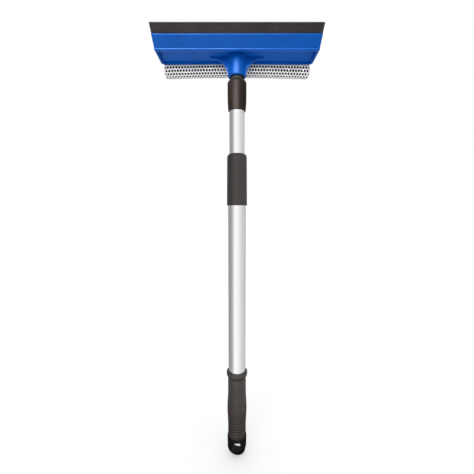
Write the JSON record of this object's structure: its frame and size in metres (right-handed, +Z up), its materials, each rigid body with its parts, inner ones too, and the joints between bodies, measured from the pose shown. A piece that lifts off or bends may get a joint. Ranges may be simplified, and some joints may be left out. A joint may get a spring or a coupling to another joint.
{
  "type": "telescopic window squeegee",
  "caption": "Telescopic pole with hand grip and hang cap, carrying a window head with a rubber blade in front and a netted sponge behind.",
  "frame": {"origin": "centre of the hang hole, on the pole's axis", "axes": "+Z up the pole towards the head, X along the blade, -Y towards the blade's side and +Y towards the sponge"},
  "size_m": [0.2, 0.0781, 0.5814],
  "materials": {
    "aluminium_tube": "satin drawn and anodised tube",
    "black_sleeve": "fine matt moulded plastic",
    "grip_rubber": "soft matt grip with fine grooves",
    "black_cap": "smooth semi-gloss moulding",
    "blue_plastic": "semi-gloss moulded plastic",
    "grey_plastic": "matt grey plastic",
    "natural_plastic": "natural white acetal",
    "steel": "zinc plated",
    "blade_rubber": "matt black rubber with a cut edge",
    "sponge_foam": "dark open-cell foam",
    "net_white": "white plastic netting"
  },
  "bodies": {
    "pole": {"outer_tube": "aluminium_tube", "outer_collar": "black_sleeve", "guide_bush": "natural_plastic", "grip": "grip_rubber", "end_plug": "natural_plastic"},
    "hang_cap": {"hang_cap": "black_cap"},
    "lock_sleeve": {"lock_sleeve": "natural_plastic"},
    "cone_nut": {"cone_nut": "grey_plastic"},
    "inner_pole": {"inner_tube": "aluminium_tube", "lock_plug": "natural_plastic", "lock_stud": "steel", "lock_washer": "steel", "stop_nut": "steel", "plug_pin": "steel", "threaded_tip": "grey_plastic", "tip_pin": "steel", "tip_collar": "black_sleeve"},
    "neck_ring": {"neck_ring": "grey_plastic"},
    "head": {"head_body": "blue_plastic", "blade_rubber": "blade_rubber", "sponge": "sponge_foam", "sponge_net": "net_white", "sponge_strip": "natural_plastic"}
  },
  "joints": [
    {"name": "cap_swivel", "type": "hinge", "parent": "pole", "child": "hang_cap", "pos_m": [0, 0, 0.012], "axis": [0, 0, 1], "continuous": true},
    {"name": "telescope", "type": "slide", "parent": "pole", "child": "lock_sleeve", "axis": [0, 0, 1], "range_m": [-0.055, 0.235]},
    {"name": "twist_lock", "type": "hinge", "parent": "lock_sleeve", "child": "inner_pole", "pos_m": [0, 0, 0.14], "axis": [0, 0, 1], "range_deg": [0, 360]},
    {"name": "cone_travel", "type": "slide", "parent": "lock_sleeve", "child": "cone_nut", "axis": [0, 0, 1], "range_m": [0, 0.002]},
    {"name": "head_screw", "type": "hinge", "parent": "inner_pole", "child": "neck_ring", "pos_m": [0, 0, 0.51], "axis": [0, 0, 1], "range_deg": [0, 1800]},
    {"name": "head_lift", "type": "slide", "parent": "neck_ring", "child": "head", "axis": [0, 0, 1], "range_m": [0, 0.025]}
  ],
  "couplings": [
    {"joint": "cone_travel", "follows": "twist_lock", "m_per_rad": 0.00031831},
    {"joint": "head_screw", "follows": "head_lift", "rad_per_m": 1256.6}
  ]
}
